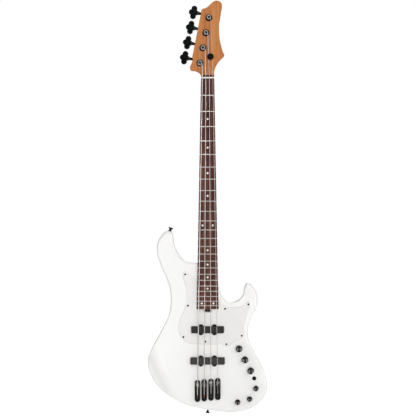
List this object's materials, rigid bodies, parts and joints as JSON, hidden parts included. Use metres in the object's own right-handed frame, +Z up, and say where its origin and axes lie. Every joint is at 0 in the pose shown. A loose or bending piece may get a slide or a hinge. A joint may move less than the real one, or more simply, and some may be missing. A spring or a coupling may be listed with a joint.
{
  "type": "electric bass guitar",
  "caption": "Solid-body electric bass guitar with a bolt-on fretted neck, single-sided geared tuners, two bar pickups, single-string bridge rails and front controls.",
  "frame": {"origin": "middle of the neck at the nut's playing edge, in the plane of the body's front face, where a yoke hanger carries the headstock", "axes": "+Z up along the neck to the headstock, -Y out of the front towards the player's audience, +X to the treble side"},
  "size_m": [0.3439, 0.0635, 1.1815],
  "materials": {
    "body_white": "satin paint",
    "guard_white": "satin",
    "roasted_maple": "satin oil",
    "dark_board": "oiled",
    "fret_metal": "polished",
    "white_inlay": "polished",
    "black_metal": "satin black",
    "string_steel": "wound",
    "gear_brass": "satin",
    "black_plastic": "matte",
    "coil_tape": "taped",
    "steel": "brushed",
    "circuit_green": "satin",
    "battery_case": "plain wrap",
    "lead_rubber": "matte"
  },
  "bodies": {
    "instrument": {"body": "body_white", "pickguard": "guard_white", "plate_screws": "black_metal", "neck": "roasted_maple", "fretboard": "dark_board", "frets": "fret_metal", "position_dots": "white_inlay", "nut": "white_inlay", "truss_rod": "steel", "neck_plate": "black_metal", "neck_screws": "black_metal", "string_retainer": "black_metal", "headstock_screws": "black_metal", "tuner_plates": "black_metal", "tuner_bushings": "black_metal", "bridge_rails": "black_metal", "rail_screws": "black_metal", "neck_pickup_cover": "black_plastic", "bridge_pickup_cover": "black_plastic", "pickup_cores": "coil_tape", "pickup_screws": "black_metal", "pots": "steel", "pot_nuts": "black_metal", "mode_switch": "steel", "control_cover": "black_plastic", "preamp_board": "circuit_green", "battery_box": "black_plastic", "battery": "battery_case", "output_socket": "black_metal", "strap_buttons": "black_metal", "inner_leads": "lead_rubber", "string_e": "string_steel", "string_a": "string_steel", "string_d": "string_steel", "string_g": "string_steel"},
    "key_e": {"tuner_key_e": "black_metal"},
    "post_e": {"tuner_post_e": "black_metal", "tuner_gear_e": "gear_brass"},
    "key_a": {"tuner_key_a": "black_metal"},
    "post_a": {"tuner_post_a": "black_metal", "tuner_gear_a": "gear_brass"},
    "key_d": {"tuner_key_d": "black_metal"},
    "post_d": {"tuner_post_d": "black_metal", "tuner_gear_d": "gear_brass"},
    "key_g": {"tuner_key_g": "black_metal"},
    "post_g": {"tuner_post_g": "black_metal", "tuner_gear_g": "gear_brass"},
    "large_knob_1": {"large_knob_1": "black_metal"},
    "large_knob_2": {"large_knob_2": "black_metal"},
    "large_knob_3": {"large_knob_3": "black_metal"},
    "small_knob_1": {"small_knob_1": "black_metal"},
    "small_knob_2": {"small_knob_2": "black_metal"},
    "small_knob_3": {"small_knob_3": "black_metal"},
    "switch_lever": {"switch_lever": "black_metal"},
    "truss_wheel": {"truss_wheel": "black_metal"},
    "battery_lid": {"battery_lid": "black_plastic"},
    "saddle_e": {"saddle_e": "black_metal"},
    "saddle_a": {"saddle_a": "black_metal"},
    "saddle_d": {"saddle_d": "black_metal"},
    "saddle_g": {"saddle_g": "black_metal"}
  },
  "joints": [
    {"name": "key_e_turn", "type": "hinge", "parent": "instrument", "child": "key_e", "pos_m": [-0.02022, 0.0218, 0.05283], "axis": [0.9809, 0, -0.1945], "continuous": true},
    {"name": "post_e_turn", "type": "hinge", "parent": "instrument", "child": "post_e", "pos_m": [-0.02192, 0, 0.0443], "axis": [0, 1, 0], "continuous": true},
    {"name": "key_a_turn", "type": "hinge", "parent": "instrument", "child": "key_a", "pos_m": [-0.01165, 0.0218, 0.09609], "axis": [0.9809, 0, -0.1945], "continuous": true},
    {"name": "post_a_turn", "type": "hinge", "parent": "instrument", "child": "post_a", "pos_m": [-0.01334, 0, 0.08756], "axis": [0, 1, 0], "continuous": true},
    {"name": "key_d_turn", "type": "hinge", "parent": "instrument", "child": "key_d", "pos_m": [-0.00307, 0.0218, 0.13935], "axis": [0.9809, 0, -0.1945], "continuous": true},
    {"name": "post_d_turn", "type": "hinge", "parent": "instrument", "child": "post_d", "pos_m": [-0.00476, 0, 0.13082], "axis": [0, 1, 0], "continuous": true},
    {"name": "key_g_turn", "type": "hinge", "parent": "instrument", "child": "key_g", "pos_m": [0.00551, 0.0218, 0.18261], "axis": [0.9809, 0, -0.1945], "continuous": true},
    {"name": "post_g_turn", "type": "hinge", "parent": "instrument", "child": "post_g", "pos_m": [0.00381, 0, 0.17407], "axis": [0, 1, 0], "continuous": true},
    {"name": "large_knob_1_turn", "type": "hinge", "parent": "instrument", "child": "large_knob_1", "pos_m": [0.08931, 0, -0.77039], "axis": [0, -1, 0], "range_deg": [-150, 150]},
    {"name": "large_knob_2_turn", "type": "hinge", "parent": "instrument", "child": "large_knob_2", "pos_m": [0.10614, 0, -0.80164], "axis": [0, -1, 0], "range_deg": [-150, 150]},
    {"name": "large_knob_3_turn", "type": "hinge", "parent": "instrument", "child": "large_knob_3", "pos_m": [0.12263, 0, -0.83288], "axis": [0, -1, 0], "range_deg": [-150, 150]},
    {"name": "small_knob_1_turn", "type": "hinge", "parent": "instrument", "child": "small_knob_1", "pos_m": [0.13774, 0, -0.88339], "axis": [0, -1, 0], "range_deg": [-150, 150]},
    {"name": "small_knob_2_turn", "type": "hinge", "parent": "instrument", "child": "small_knob_2", "pos_m": [0.11954, 0, -0.91359], "axis": [0, -1, 0], "range_deg": [-150, 150]},
    {"name": "small_knob_3_turn", "type": "hinge", "parent": "instrument", "child": "small_knob_3", "pos_m": [0.08553, 0, -0.92244], "axis": [0, -1, 0], "range_deg": [-150, 150]},
    {"name": "switch_flip", "type": "hinge", "parent": "instrument", "child": "switch_lever", "pos_m": [0.13293, 0, -0.85579], "axis": [1, 0, 0], "range_deg": [-12, 12]},
    {"name": "truss_wheel_turn", "type": "hinge", "parent": "instrument", "child": "truss_wheel", "pos_m": [0, 0.003, -0.6575], "axis": [0, 0, -1], "range_deg": [-360, 360]},
    {"name": "battery_lid_swing", "type": "hinge", "parent": "instrument", "child": "battery_lid", "pos_m": [0.03813, 0.0407, -0.83942], "axis": [1, 0, 0], "range_deg": [0, 100]},
    {"name": "saddle_e_slide", "type": "slide", "parent": "instrument", "child": "saddle_e", "axis": [0, 0, 1], "range_m": [0, 0.003]},
    {"name": "saddle_a_slide", "type": "slide", "parent": "instrument", "child": "saddle_a", "axis": [0, 0, 1], "range_m": [0, 0.003]},
    {"name": "saddle_d_slide", "type": "slide", "parent": "instrument", "child": "saddle_d", "axis": [0, 0, 1], "range_m": [0, 0.003]},
    {"name": "saddle_g_slide", "type": "slide", "parent": "instrument", "child": "saddle_g", "axis": [0, 0, 1], "range_m": [0, 0.003]}
  ],
  "couplings": [
    {"joint": "post_e_turn", "follows": "key_e_turn", "ratio": -0.05},
    {"joint": "post_a_turn", "follows": "key_a_turn", "ratio": -0.05},
    {"joint": "post_d_turn", "follows": "key_d_turn", "ratio": -0.05},
    {"joint": "post_g_turn", "follows": "key_g_turn", "ratio": -0.05}
  ]
}
